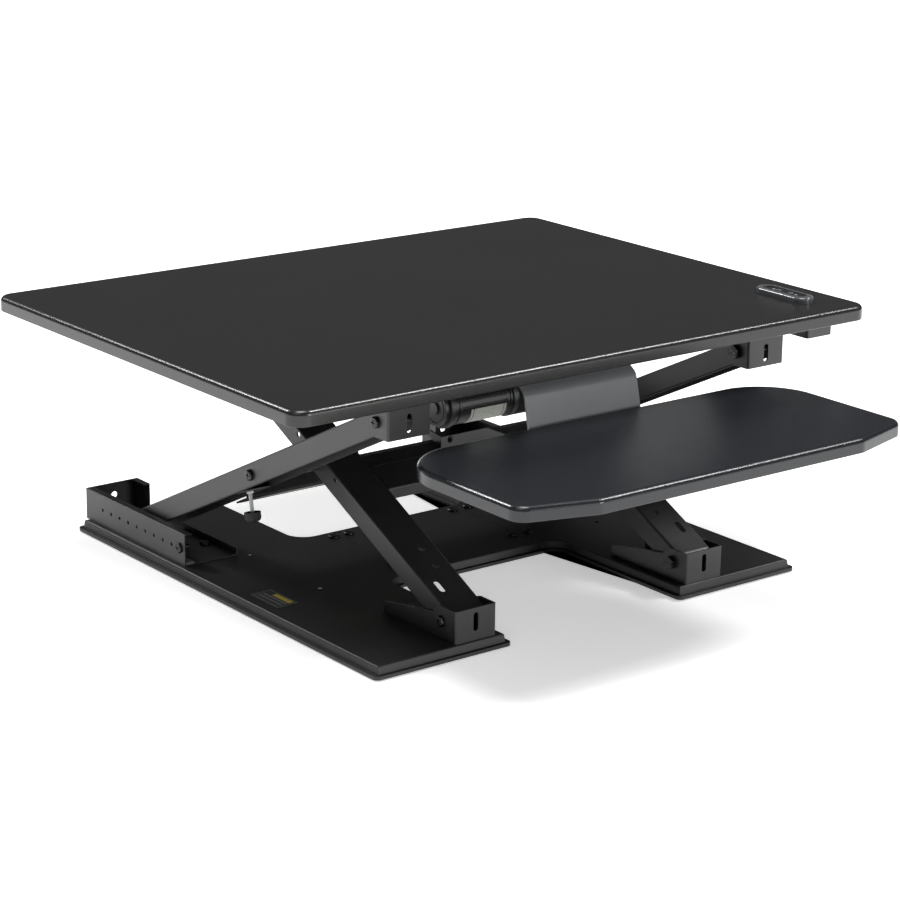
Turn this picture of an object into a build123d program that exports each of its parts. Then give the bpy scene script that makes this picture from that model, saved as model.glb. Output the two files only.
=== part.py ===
"""Electric standing desk converter: a scissor lift between a pressed steel base and a desktop.

Millimetres and degrees, +Z up, +Y to the back, +X to the right.  Inside this file Y is counted back
from the desktop's front edge; the last lines move every piece so that the origin lies on the ground
under the middle of the whole outline.  The converter is modelled part-way up its travel.
"""
from build123d import *
from math import cos, radians, sin
import os

# --- Overall sizes ---
desk_width = 920.0
desk_depth = 707.0
desk_thickness = 20.0
desk_corner = 22.0
board_edge = 7.0
board_under_edge = 1.2
tray_width = 616.0
tray_thickness = 19.0
tray_drop = 84.0
tray_rear = 29.0
tray_front = -240.0
tray_rear_radius = 82.0
tray_nose_width = 418.0
tray_nose_depth = 29.0

# --- Base pan ---
foot_height = 1.5
foot_radius = 16.0
base_width = 692.0
base_front = 0.8
base_back = 706.0
base_height = 15.0
base_sheet = 2.0
base_corner = 8.0
lip_height = 4.5
lip_reach = 6.0
pan_slope = 10.0
pan_edge = 2.5
notch_width = 276.0
notch_corner = 20.0
bridge_front = 250.0
bridge_back = 465.0
seam_left = -91.0
seam_right = 116.0
seam_gap = 0.4

# --- Scissor lift ---
arm_length = 612.0
rest_angle = 26.07
arm_width = 56.0
arm_depth = 30.5
arm_wall = 2.5
arm_bend = 3.0
arm_hole_places = (75.3, 108.0)
arm_hole_radius = 4.4
arm_slot_place = 42.0
arm_side_hole = 46.3
inner_arm_middle = 188.5
outer_arm_middle = 288.0
front_pivot = 39.0
pivot_offset = 23.0
pin_radius = 6.0
running_gap = 0.05
face_gap = 0.3
side_gap = 1.0
screw_head_radius = 7.3
screw_head_height = 3.6

# --- Brackets, channels and rollers ---
bracket_height = 42.0
bracket_wall = 2.5
bracket_ear = 19.0
lower_bracket_front = 10.7
upper_bracket_front = 15.6
bracket_tail = 148.0
bracket_tail_height = 14.5
slot_length = 24.0
slot_width = 7.4
roller_width = 12.0
track_sheet = 2.0
track_lip = 10.0
wear_strip = 2.0
channel_ahead = 140.73
channel_length = 256.0
channel_inner_wall = 10.0
channel_tall_end = 34.0
channel_margin = 10.5
channel_hole_pitch = 22.3
channel_hole_count = 9
channel_hole_radius = 2.5
first_channel_hole = 32.5
stop_screw_setback = 13.4
rail_ahead = 133.73
rail_length = 220.0

# --- Crossbeams and bumpers, placed along an arm from the mid pivot ---
inner_beam_near = -19.0
inner_beam_far = -88.0
inner_beam_flange = 19.5
outer_beam_near = 112.0
outer_beam_far = 142.0
outer_beam_top = 10.0
outer_beam_bottom = -19.0
beam_wall = 2.5
stand_left = -44.7
stand_right = 71.0
stand_height = 17.5
stand_reach = 30.0
stand_place = -39.0
stand_hole_height = 12.0
stand_hole_radius = 4.6
bumper_place = 55.9
bumper_tilt = 15.0
bumper_length = 41.5
bumper_radius = 11.0
bumper_height = 13.0
stud_radius = 2.6

# --- Drive ---
screw_radius = 7.0
screw_offset = 60.0
screw_front = 86.0
screw_beyond = 93.27
nut_half = 22.0
nut_length = 36.0
nut_height = 30.0
motor_radius = 24.0
motor_left = -200.0
motor_right = -94.0
motor_front = 51.0
motor_gap = 9.0
gearbox_front = 64.0
gearbox_back = 108.0

# --- Control pad and small pieces ---
pad_inset = 63.0
pad_y = 96.0
pad_length = 95.0
pad_width = 31.0
pad_height = 8.0
pad_floor = 2.5
panel_length = 76.0
panel_width = 18.0
panel_thickness = 1.6
panel_sink = 1.4
button_radius = 4.2
button_rise = 1.2
button_travel = 1.0
button_pitch = 22.0
box_front = 25.0
box_length = 80.0
box_width = 45.0
box_height = 20.0
notice_inset = 24.0
notice_front = 246.0
notice_width = 33.0
notice_length = 63.0
strap_width = 182.0
strap_sheet = 2.5
fixing_radius = 2.5
fixing_gap = 0.1

# --- Heights and places that follow from the sizes above ---
base_top = foot_height + base_height
lower_pivot = base_top + pivot_offset
upper_pivot = lower_pivot + arm_length * sin(radians(rest_angle))
desk_bottom = upper_pivot + pivot_offset
desk_top = desk_bottom + desk_thickness
tray_bottom = desk_bottom - tray_drop
rear_pivot = front_pivot + arm_length * cos(radians(rest_angle))
mid_y = (front_pivot + rear_pivot) / 2
mid_z = (lower_pivot + upper_pivot) / 2
roller_radius = pivot_offset - track_sheet - wear_strip - face_gap
channel_front = rear_pivot - channel_ahead
channel_back = channel_front + channel_length
rail_front = rear_pivot - rail_ahead
rail_back = rail_front + rail_length
screw_back = rear_pivot + screw_beyond
pad_x = desk_width / 2 - pad_inset
arm_inside = arm_width - 2 * arm_wall
bracket_width = arm_width + 2 * side_gap + 2 * bracket_wall + 0.01
roller_start = arm_width / 2 + side_gap
track_wall = roller_start + roller_width + side_gap
axle_end = track_wall - side_gap
pin_hole = pin_radius + running_gap
fixing_hole = fixing_radius + fixing_gap
y_middle = (tray_front + desk_depth) / 2


# --- Small geometry helpers ---
def block(x, y, z):
    """A box between two limits on each axis."""
    size = [abs(a - b) for a, b in (x, y, z)]
    middle = [(a + b) / 2 for a, b in (x, y, z)]
    return Pos(*middle) * Box(*size)


def rod_x(x, y, z, radius):
    """A cylinder along X between two limits."""
    return Pos((x[0] + x[1]) / 2, y, z) * Rot(0, 90, 0) * Cylinder(radius, abs(x[1] - x[0]))


def rod_y(x, y, z, radius):
    """A cylinder along Y between two limits."""
    return Pos(x, (y[0] + y[1]) / 2, z) * Rot(90, 0, 0) * Cylinder(radius, abs(y[1] - y[0]))


def rod_z(x, y, z, radius):
    """A cylinder along Z between two limits."""
    return Pos(x, y, (z[0] + z[1]) / 2) * Cylinder(radius, abs(z[1] - z[0]))


def side_slab(x, *points):
    """A flat piece with a (Y, Z) outline, spread between two X limits."""
    outline = Plane.YZ.offset(x[0]) * Polygon(*points, align=None)
    return extrude(outline, amount=x[1] - x[0], dir=(1, 0, 0))


def bent_sheet(x, thickness, radii, *points):
    """Sheet metal folded along a (Y, Z) line, spread between two X limits."""
    line = FilletPolyline(*points, radius=radii)
    outline = Plane.YZ.offset(x[0]) * trace(line, line_width=thickness)
    return extrude(outline, amount=x[1] - x[0], dir=(1, 0, 0))


def mirrored(shape):
    """The same piece on the left-hand side."""
    return mirror(shape, about=Plane.YZ)


def both_sides(shape):
    """A pair of identical pieces, one on each side."""
    return Compound(children=[shape, mirrored(shape)])


def on_arm(shape, angle):
    """Turns a piece laid out along an arm (X, along, normal) to its angle about the mid pivot."""
    return Pos(0, mid_y, mid_z) * Rot(angle, 0, 0) * shape


def cap_screw(x, y, z, shank):
    """A pan head screw standing on a face at height z, head up, with its cross recess."""
    head = rod_z(x, y, (z, z + screw_head_height), screw_head_radius)
    head = fillet(head.edges().group_by(Axis.Z)[-1], 2.2)
    recess = z + screw_head_height - 1.2
    head -= block((x - 3.2, x + 3.2), (y - 0.7, y + 0.7), (recess, recess + 3))
    head -= block((x - 0.7, x + 0.7), (y - 3.2, y + 3.2), (recess, recess + 3))
    return head + rod_z(x, y, (z - shank, z), fixing_radius)


def pivot_bolt(x, y, z, head_out=True):
    """A pivot bolt along X: a head outside the wall at x[1], a lock nut inside the wall at x[0]."""
    shank = rod_x((x[0] - 7, x[1] + 1), y, z, pin_radius)
    head = rod_x((x[1], x[1] + screw_head_height + 1), y, z, screw_head_radius)
    head = fillet(head.edges().group_by(Axis.X)[-1], 2.4)
    recess = x[1] + screw_head_height - 0.6
    head -= block((recess, recess + 3), (y - 3.4, y + 3.4), (z - 0.8, z + 0.8))
    head -= block((recess, recess + 3), (y - 0.8, y + 0.8), (z - 3.4, z + 3.4))
    nut = Pos(x[0] - 3.5, y, z) * Rot(0, 90, 0) * extrude(RegularPolygon(9.5, 6), amount=3, both=True)
    return shank + head + nut


# --- Base: a shallow pressed pan in three lengths, joined by hidden plates ---
def base_outline():
    """The H-shaped plan: two legs, a bridge, and a notch in front and behind."""
    depth = base_back - base_front
    plan = Pos(0, (base_front + base_back) / 2) * Rectangle(base_width, depth)
    front = bridge_front - base_front
    rear = base_back - bridge_back
    plan -= Pos(0, base_front + front / 2) * Rectangle(notch_width, front)
    plan -= Pos(0, base_back - rear / 2) * Rectangle(notch_width, rear)
    root = [v for v in plan.vertices() if bridge_front - 1 < v.Y < bridge_back + 1]
    plan = fillet(root, notch_corner)
    tips = [v for v in plan.vertices() if v.Y < base_front + 1 or v.Y > base_back - 1]
    return fillet(tips, base_corner)


def base_pan():
    """The whole pan: a folded lip round the foot, sloping walls and a flat top, open below."""
    lip_top = foot_height + lip_height
    plan = base_outline()
    lip = extrude(Pos(0, 0, foot_height) * plan, amount=lip_height)
    wall_plan = offset(plan, -lip_reach, kind=Kind.ARC)
    wall = extrude(Pos(0, 0, lip_top) * wall_plan, amount=base_top - lip_top, taper=pan_slope)
    wall = fillet(wall.faces().sort_by(Axis.Z)[-1].edges(), pan_edge)
    hollow_plan = offset(plan, -lip_reach - base_sheet - 2.5, kind=Kind.ARC)
    return lip + wall - extrude(hollow_plan, amount=base_top - base_sheet)


def join_screw_places():
    """The screws that hold the pan lengths to the plates under the two seams."""
    rows = (bridge_front + 50, bridge_back - 29)
    return [(x, y) for x in (seam_left - 11, seam_left + 14, seam_right - 14, seam_right + 13) for y in rows]


def pan_holes():
    """Spare round holes in the pan's top, two in each leg."""
    return [(side * 234.0, y) for side in (-1, 1) for y in (278.6, 442.1)]


def base_lengths():
    pan = base_pan()
    floor = (0, base_top + 1)
    for x, y in join_screw_places() + track_screw_places() + bracket_screw_places():
        pan -= rod_z(x, y, floor, fixing_hole)
    for x, y in pan_holes():
        pan -= rod_z(x, y, floor, 3.5)
    edge = base_width
    cuts = {
        "base_leg_left": (-edge, seam_left - seam_gap / 2),
        "base_bridge": (seam_left + seam_gap / 2, seam_right - seam_gap / 2),
        "base_leg_right": (seam_right + seam_gap / 2, edge),
    }
    return {name: pan & block(x, (-100, 2 * base_back), floor) for name, x in cuts.items()}


def base_join_plates():
    """Two flat plates under the seams, screwed to the pan on both sides."""
    under = base_top - base_sheet
    plates = []
    for seam in (seam_left, seam_right):
        plate = block((seam - 28, seam + 28), (bridge_front + 24, bridge_back - 14), (under - 3, under))
        for x, y in join_screw_places():
            plate -= rod_z(x, y, (0, under + 1), fixing_hole)
        plates.append(plate)
    return Compound(children=plates)


def base_join_screws():
    places = join_screw_places()
    return Compound(children=[cap_screw(x, y, base_top, base_sheet + 3.5) for x, y in places])


def rubber_feet():
    """Rubber discs stuck up inside the pan, standing a little proud of its lip."""
    middle = (notch_width + base_width) / 4
    places = [(side * x, y) for side in (-1, 1) for x in (middle - 66, middle + 66)
              for y in (base_front + 40, base_back - 40)]
    return Compound(children=[rod_z(x, y, (0, base_top - base_sheet), foot_radius) for x, y in places])


def base_label():
    """A plain printed notice stuck flat on the left leg."""
    left = notice_inset - base_width / 2
    y = (notice_front, notice_front + notice_length)
    return block((left, left + notice_width), y, (base_top, base_top + 0.3))


# --- Front brackets: folded steel, two ears with a bolt through them ---
def bracket(setback, tail):
    """A bracket from its front face (y = 0), standing on z = 0, its bolt a setback behind."""
    half = bracket_width / 2
    ear = side_slab((-half, half), (0, 0), (0, bracket_height), (setback, bracket_height), (setback, 0))
    ear += rod_x((-half, half), setback, pivot_offset, bracket_ear)
    back = (setback + bracket_ear, 0), (setback + 14, pivot_offset + 9)
    ear += side_slab((-half, half), (setback, 0), (setback, pivot_offset), back[1], back[0])
    ear += side_slab((-half, half), (setback, 0), back[1], (tail, bracket_tail_height), (tail, 0))
    corner = [e for e in ear.edges().filter_by(Axis.Z) if e.center().Y < 0.1]
    ear = fillet(corner, arm_bend)
    inside = half - bracket_wall
    ear -= block((-inside, inside), (bracket_wall, tail + 99), (bracket_wall, bracket_height + 99))
    ear -= rod_x((-half - 1, half + 1), setback, pivot_offset, pin_hole)
    slot = Plane.XZ * Pos(0, pivot_offset + 1) * Rot(0, 0, 90) * SlotOverall(slot_length, slot_width)
    return ear - extrude(slot, amount=2 * bracket_wall, both=True)


def bracket_screw_places():
    return [(side * inner_arm_middle, lower_bracket_front + y) for side in (-1, 1) for y in (92, 128)]


def lower_bracket():
    setback = front_pivot - lower_bracket_front
    shape = Pos(inner_arm_middle, lower_bracket_front, base_top) * bracket(setback, bracket_tail)
    for x, y in bracket_screw_places():
        shape -= rod_z(x, y, (0, base_top + 9), fixing_hole)
    return shape


def lower_pivot_bolt():
    half = bracket_width / 2
    x = (inner_arm_middle - half, inner_arm_middle + half)
    return pivot_bolt(x, front_pivot, lower_pivot)


def upper_bracket_screw_places():
    return [(side * outer_arm_middle, upper_bracket_front + y) for side in (-1, 1) for y in (66, 92)]


def upper_bracket():
    """The same folded bracket hung upside down, its side walls cut short behind the ears."""
    setback = front_pivot - upper_bracket_front
    tail = 106.0
    shape = bracket(setback, tail)
    end = setback + bracket_ear
    shape -= block((-99, 99), (end, tail + 9), (bracket_wall, bracket_height))
    shape = Pos(outer_arm_middle, upper_bracket_front, desk_bottom) * Rot(0, 180, 0) * shape
    for x, y in upper_bracket_screw_places():
        shape -= rod_z(x, y, (desk_bottom - 9, desk_bottom + 1), fixing_hole)
    return shape


def upper_pivot_bolt():
    half = bracket_width / 2
    x = (outer_arm_middle - half, outer_arm_middle + half)
    return pivot_bolt(x, front_pivot, upper_pivot)


# --- Roller tracks: a channel behind on the base, and a rail under the desktop ---
def track_profile(middle, y):
    """The folded sheet round one roller, its floor on z = 0 and its lip turned in over the roller."""
    wall = track_wall
    top = 2 * pivot_offset - track_sheet
    outer = block((middle + wall, middle + wall + track_sheet), y, (0, top))
    lip = block((middle + wall - track_lip, middle + wall + track_sheet), y, (top - track_sheet, top))
    shape = outer + lip
    return fillet(shape.edges().filter_by(Axis.Y).group_by(Axis.X)[-1].group_by(Axis.Z)[-1], 1.5)


def track_screw_places():
    """One floor screw in front and one behind in each rear channel."""
    x = outer_arm_middle - arm_width / 2 + 2.5
    return [(side * x, y) for side in (-1, 1) for y in (channel_front + 60.7, channel_back - 14)]


def rear_channel():
    """The open-fronted track on the base for one lower roller, with a row of holes in its wall."""
    y = (channel_front, channel_back)
    middle = outer_arm_middle
    inner = middle - arm_width / 2 - channel_margin
    outer = middle + track_wall + track_sheet
    top = 2 * pivot_offset - track_sheet
    shape = track_profile(middle, y)
    shape += block((inner, outer), y, (0, track_sheet))
    shape += block((inner, outer), (y[1] - track_sheet, y[1]), (0, top))
    shape += block((inner, inner + track_sheet), y, (0, channel_inner_wall))
    tall = (y[1] - channel_tall_end, y[1])
    shape += block((inner, inner + track_sheet), tall, (0, top))
    shape += block((inner, inner + track_lip), tall, (top - track_sheet, top))
    shape -= rod_y(middle, (y[1] - 9, y[1] + 9), pivot_offset + 3, 5.0)
    for step in range(channel_hole_count):
        place = y[0] + first_channel_hole + step * channel_hole_pitch
        shape -= rod_x((middle + track_wall - 1, outer + 1), place, pivot_offset, channel_hole_radius)
    shape -= rod_x((middle + track_wall - 1, outer + 1), stop_place(), pivot_offset, fixing_hole)
    shape = Pos(0, 0, base_top) * shape
    for x, y in track_screw_places():
        shape -= rod_z(x, y, (0, base_top + 5), fixing_hole)
    return shape


def stop_place():
    return channel_front + stop_screw_setback


def stop_screw():
    """The screw through the front end of a channel's wall that stops its roller."""
    outer = outer_arm_middle + track_wall + track_sheet
    screw = cap_screw(0, 0, 0, track_sheet + roller_width)
    return Pos(outer, stop_place(), lower_pivot) * Rot(0, 90, 0) * screw


def channel_wear_strip():
    """The hard strip on the channel's floor that the roller runs on."""
    x = (outer_arm_middle + roller_start - 1, outer_arm_middle + track_wall)
    z = base_top + track_sheet
    return block(x, (channel_front + 2, channel_back - track_sheet), (z, z + wear_strip))


def floor_screws():
    """The screws down through the rear channels and the front brackets into the pan."""
    shapes = [cap_screw(x, y, base_top + track_sheet, 7) for x, y in track_screw_places()]
    shapes += [cap_screw(x, y, base_top + bracket_wall, 7) for x, y in bracket_screw_places()]
    return Compound(children=shapes)


def rail_screw_places():
    x = inner_arm_middle - arm_width / 2 - channel_margin + 6
    return [(side * x, y) for side in (-1, 1) for y in (rail_front + 16, rail_back - 16)]


def upper_rail():
    """The folded rail under the desktop for one upper roller, lip below the roller."""
    y = (rail_front, rail_back)
    middle = inner_arm_middle
    inner = middle - arm_width / 2 - channel_margin - 8
    shape = track_profile(middle, y)
    shape += block((inner, middle + track_wall + track_sheet), y, (0, track_sheet))
    shape = Pos(0, 0, desk_bottom) * mirror(shape, about=Plane.XY)
    for x, place in rail_screw_places():
        shape -= rod_z(x, place, (desk_bottom - 9, desk_bottom + 1), fixing_hole)
    return shape


def rail_wear_strip():
    x = (inner_arm_middle + roller_start - 1, inner_arm_middle + track_wall)
    z = desk_bottom - track_sheet
    return block(x, (rail_front + 2, rail_back - 2), (z - wear_strip, z))


def roller(middle, y, z):
    """A moulded roller with a bore for its axle."""
    x = (middle + roller_start, middle + roller_start + roller_width)
    shape = rod_x(x, y, z, roller_radius)
    shape = fillet(shape.edges(), 1.2)
    return shape - rod_x((x[0] - 1, x[1] + 1), y, z, pin_hole)


# --- Scissor arms: folded steel channels, open below ---
def arm(middle):
    """One arm along Y about its mid pivot, with the three pivot holes through both walls."""
    inner = middle - arm_width / 2
    shape = extrude(Plane.YZ.offset(inner) * SlotCenterToCenter(arm_length, arm_depth), amount=arm_width)
    shape = fillet(shape.edges().filter_by(Axis.Y).group_by(Axis.Z)[-1], arm_bend)
    hollow = (inner + arm_wall, inner + arm_width - arm_wall)
    shape -= block(hollow, (-arm_length, arm_length), (-arm_depth, arm_depth / 2 - arm_wall))
    for place in (-arm_length / 2, 0, arm_length / 2):
        shape -= rod_x((inner - 1, inner + arm_width + 1), place, 0, pin_hole)
    return shape


def inner_arm():
    """The arm from a lower front bracket to an upper rail, with holes near its foot."""
    shape = arm(inner_arm_middle)
    web = (0, arm_depth)
    foot = -arm_length / 2
    for place in arm_hole_places:
        shape -= rod_z(inner_arm_middle - 5, foot + place, web, arm_hole_radius)
    slot = Pos(inner_arm_middle + 11, foot + arm_slot_place) * Rot(0, 0, 90) * SlotOverall(21, 9)
    shape -= extrude(Pos(0, 0, arm_wall) * slot, amount=arm_depth)
    outer = inner_arm_middle + arm_width / 2
    for place in (-arm_side_hole, arm_side_hole):
        shape -= rod_x((outer - 9, outer + 1), place, 8.2, 3.6)
    return on_arm(shape, rest_angle)


def outer_arm():
    """The arm from a rear channel to an upper front bracket."""
    return on_arm(arm(outer_arm_middle), -rest_angle)


def inner_crossbeam():
    """The folded beam between the inner arms, flush with their webs, with a raised crease."""
    half = inner_arm_middle - arm_width / 2
    top = arm_depth / 2
    y = (inner_beam_far, inner_beam_near)
    shape = block((-half, half), y, (top - inner_beam_flange, top))
    shape = fillet(shape.edges().filter_by(Axis.X).group_by(Axis.Z)[-1], arm_bend)
    hollow = (y[0] + beam_wall, y[1] - beam_wall)
    shape -= block((-half - 1, half + 1), hollow, (-arm_depth, top - beam_wall))
    crease = inner_beam_near - 24
    shape += side_slab((-half, half), (crease - 2, top), (crease, top + 1.2), (crease + 2, top))
    return on_arm(shape, rest_angle)


def crossbeam_bracket():
    """A folded bracket standing on the inner crossbeam, sloped off where the drive screw passes over it."""
    half = inner_arm_middle - arm_width / 2
    left, right, height, reach = stand_left, stand_right, stand_height, stand_reach
    top = arm_depth / 2
    points = [(left, 0), (left, height), (right - 2.2 * height, height), (right, 0)]
    front = extrude(Plane.XZ * Polygon(*points, align=None), amount=beam_wall, dir=(0, 1, 0))
    front -= rod_y(left + 15, (-9, 9), stand_hole_height, stand_hole_radius)
    rise = 0.6 * reach * sin(radians(rest_angle)) / cos(radians(rest_angle))
    under = [(0, 0), (0.6 * reach, rise), (reach, rise + 1)]
    side = side_slab((left, left + beam_wall), *under, (reach, height + 4), (0, height))
    shape = Rot(-rest_angle, 0, 0) * (front + side)
    shape = Pos(0, stand_place, top) * shape
    shape -= block((-half, half), (-99, 0), (-99, top))
    return on_arm(shape, rest_angle)


def outer_crossbeam():
    """The folded channel between the outer arms, just behind the mid pivots."""
    half = outer_arm_middle - arm_width / 2
    y = (outer_beam_near, outer_beam_far)
    shape = block((-half, half), y, (outer_beam_bottom, outer_beam_top))
    shape = fillet(shape.edges().filter_by(Axis.X).group_by(Axis.Y)[0], arm_bend)
    inside = (outer_beam_bottom + beam_wall, outer_beam_top - beam_wall)
    shape -= block((-half - 1, half + 1), (y[0] + beam_wall, y[1] + 1), inside)
    return on_arm(shape, -rest_angle)


def mid_pivot_bolt():
    """The bolt through an outer arm, a spacer and an inner arm."""
    x = (inner_arm_middle - arm_width / 2 - face_gap, outer_arm_middle + arm_width / 2)
    return pivot_bolt(x, mid_y, mid_z)


def mid_spacer():
    """The tube that keeps an inner and an outer arm apart on their pivot."""
    x = (inner_arm_middle + arm_width / 2, outer_arm_middle - arm_width / 2 - face_gap)
    return rod_x(x, mid_y, mid_z, 11) - rod_x((x[0] - 1, x[1] + 1), mid_y, mid_z, pin_hole)


def lower_axle():
    """The stub axle across an outer arm's lower end, carrying the lower roller."""
    x = outer_arm_middle - arm_width / 2
    head = rod_x((x - 3, x), rear_pivot, lower_pivot, 9)
    return head + rod_x((x, outer_arm_middle + axle_end), rear_pivot, lower_pivot, pin_radius)


def upper_axles():
    """The two halves of the rear axle, from the drive nut out to the upper rollers."""
    end = inner_arm_middle + axle_end
    reach = screw_radius + 2.5
    halves = ((-end, screw_offset - reach), (screw_offset + reach, end))
    return Compound(children=[rod_x(x, rear_pivot, upper_pivot, pin_radius) for x in halves])


def bumper_frame(shape):
    """Turns a bumper piece, drawn hanging down from its plate, to its place under an outer arm."""
    local = Pos(outer_arm_middle, bumper_place, -arm_depth / 2 + 2) * Rot(bumper_tilt, 0, 0) * shape
    return on_arm(local, -rest_angle)


def bumper_plate():
    """The small plate welded across an outer arm that holds the bumper's stud."""
    half = arm_inside / 2
    plate = block((-half, half), (-10, 10), (0, 2.5)) - rod_z(0, 0, (-9, 9), stud_radius)
    return bumper_frame(plate)


def bumper_stud():
    """The threaded stud with its lock nut under the plate."""
    stud = rod_z(0, 0, (6 - bumper_length, 7), stud_radius)
    nut = extrude(RegularPolygon(5.2, 6), amount=-4)
    return bumper_frame(stud + nut)


def bumper_cup():
    """The rubber cup on the stud's end that meets the base when the lift is down."""
    low = -bumper_length
    cup = rod_z(0, 0, (low, low + bumper_height), bumper_radius)
    cup = fillet(cup.edges().group_by(Axis.Z)[0], 6.5)
    rim = low + bumper_height
    cup -= rod_z(0, 0, (rim - 3, rim + 1), bumper_radius - 2.4)
    return bumper_frame(cup - rod_z(0, 0, (6 - bumper_length, 1), stud_radius))


# --- Desktop and keyboard tray: laminated boards with rounded edges ---
def board(plan, bottom, thickness, edge):
    shape = extrude(Pos(0, 0, bottom) * plan, amount=thickness)
    shape = fillet(shape.edges().group_by(Axis.Z)[-1], edge)
    return fillet(shape.edges().group_by(Axis.Z)[0], board_under_edge)


def desk_screw_places():
    return upper_bracket_screw_places() + rail_screw_places() + strap_screw_places()


def desktop_board():
    plan = Pos(0, desk_depth / 2) * RectangleRounded(desk_width, desk_depth, desk_corner)
    shape = board(plan, desk_bottom, desk_thickness, board_edge)
    for x, y in desk_screw_places():
        shape -= rod_z(x, y, (desk_bottom - 1, desk_bottom + 12), fixing_hole)
    return shape


def desk_screws():
    """The screws up into the desktop through brackets, rails and the tray's hanger."""
    sheets = [(upper_bracket_screw_places(), bracket_wall), (rail_screw_places(), track_sheet),
              (strap_screw_places(), strap_sheet)]
    shapes = []
    for places, sheet in sheets:
        for x, y in places:
            screw = mirror(cap_screw(0, 0, 0, 11), about=Plane.XY)
            shapes.append(Pos(x, y, desk_bottom - sheet) * screw)
    return Compound(children=shapes)


def keyboard_tray():
    half = tray_width / 2
    nose = tray_nose_width / 2
    shoulder = tray_front + tray_nose_depth
    points = [(half, tray_rear), (half, shoulder), (nose, tray_front),
              (-nose, tray_front), (-half, shoulder), (-half, tray_rear)]
    plan = make_face(Polyline(*points, close=True))
    rear = [v for v in plan.vertices() if v.Y > tray_rear - 1]
    plan = fillet(rear, tray_rear_radius)
    front = [v for v in plan.vertices() if v.Y < shoulder + 1]
    plan = fillet(front, 22)
    shape = board(plan, tray_bottom, tray_thickness, board_edge)
    for x, y in tray_screw_places():
        shape -= rod_z(x, y, (tray_bottom - 1, tray_bottom + 12), fixing_hole)
    return shape


def strap_screw_places():
    return [(side * strap_width * 0.38, 112.0) for side in (-1, 1)]


def tray_screw_places():
    return [(side * strap_width * 0.36, y) for side in (-1, 1) for y in (-104.0, -24.0)]


def tray_strap():
    """The wide bent sheet that hangs the tray from the underside of the desktop."""
    sheet = strap_sheet
    half = strap_width / 2
    low = tray_bottom - sheet / 2
    high = desk_bottom - sheet / 2
    line = [(-130, low), (tray_rear + 4, low), (tray_rear + 18, desk_bottom - 27),
            (tray_rear + 59, high), (tray_rear + 101, high)]
    shape = bent_sheet((-half, half), sheet, [4, 14, 10], *line)
    for x, y in strap_screw_places():
        shape -= rod_z(x, y, (desk_bottom - 9, desk_bottom + 1), fixing_hole)
    for x, y in tray_screw_places():
        shape -= rod_z(x, y, (tray_bottom - 9, tray_bottom + 1), fixing_hole)
    return shape


def tray_screws():
    shapes = []
    for x, y in tray_screw_places():
        screw = mirror(cap_screw(0, 0, 0, 11), about=Plane.XY)
        shapes.append(Pos(x, y, tray_bottom - strap_sheet) * screw)
    return Compound(children=shapes)


# --- Drive: a motor and gearbox under the desktop turn a long screw through the rear axle's nut ---
motor_z = desk_bottom - motor_gap - motor_radius
motor_y = motor_front + motor_radius


def motor_body():
    """The motor's can, with a shallow groove near each end."""
    shape = rod_x((motor_left, motor_right), motor_y, motor_z, motor_radius)
    for x in (motor_left + 12, motor_right - 16):
        ring = rod_x((x, x + 3), motor_y, motor_z, motor_radius + 1)
        shape -= ring - rod_x((x - 1, x + 4), motor_y, motor_z, motor_radius - 1)
    return shape


def motor_end_cap():
    """The stepped plastic cap on the motor's outer end."""
    x = motor_left
    cap = rod_x((x - 5, x), motor_y, motor_z, motor_radius - 2)
    cap = fillet(cap.edges().group_by(Axis.X)[0], 2)
    return cap + rod_x((x - 8, x - 4), motor_y, motor_z, 8)


def motor_clamps():
    """Two ring clamps that hang the motor from the desktop by a short web."""
    shapes = []
    outer = motor_radius + 2
    for x in ((motor_left + 1, motor_left + 7), (motor_right - 9, motor_right - 3)):
        ring = rod_x(x, motor_y, motor_z, outer)
        ring += block(x, (motor_y - 12, motor_y + 12), (motor_z, desk_bottom))
        shapes.append(ring - rod_x((x[0] - 1, x[1] + 1), motor_y, motor_z, motor_radius))
    return Compound(children=shapes)


def motor_label():
    """A blank pale label round the lower front of the motor."""
    x = (motor_left + 32, motor_right - 20)
    ring = rod_x(x, motor_y, motor_z, motor_radius + 0.25)
    ring -= rod_x((x[0] - 1, x[1] + 1), motor_y, motor_z, motor_radius)
    return ring & block(x, (motor_y - 40, motor_y - 5), (motor_z - 40, motor_z - 2))


def gearbox():
    """The cast housing at the motor's inner end, its front edge cut off under the tray's hanger."""
    x = (motor_right, screw_offset + 26)
    z = (desk_bottom - 58, desk_bottom - 11)
    points = [(gearbox_front, z[0]), (gearbox_front, z[1] - 14), (gearbox_front + 20, z[1]),
              (gearbox_back, z[1]), (gearbox_back, z[0])]
    shape = side_slab(x, *points)
    shape = fillet(shape.edges().filter_by(Axis.X).group_by(Axis.Z)[0], 5)
    shape -= rod_y(screw_offset, (screw_front - 2, gearbox_back + 1), upper_pivot, screw_radius + running_gap)
    return shape


def gearbox_hangers():
    """Two spacers between the gearbox and the flange of the tray's hanger."""
    z = (desk_bottom - 11, desk_bottom - strap_sheet)
    places = (motor_right + 54, screw_offset - 30)
    return Compound(children=[block((x - 7, x + 7), (gearbox_back - 14, gearbox_back), z) for x in places])


def lead_screw():
    """The long drive screw with a collar against the gearbox."""
    shape = rod_y(screw_offset, (screw_front, screw_back), upper_pivot, screw_radius)
    return shape + rod_y(screw_offset, (gearbox_back + 1, gearbox_back + 6), upper_pivot, screw_radius + 4)


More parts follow.
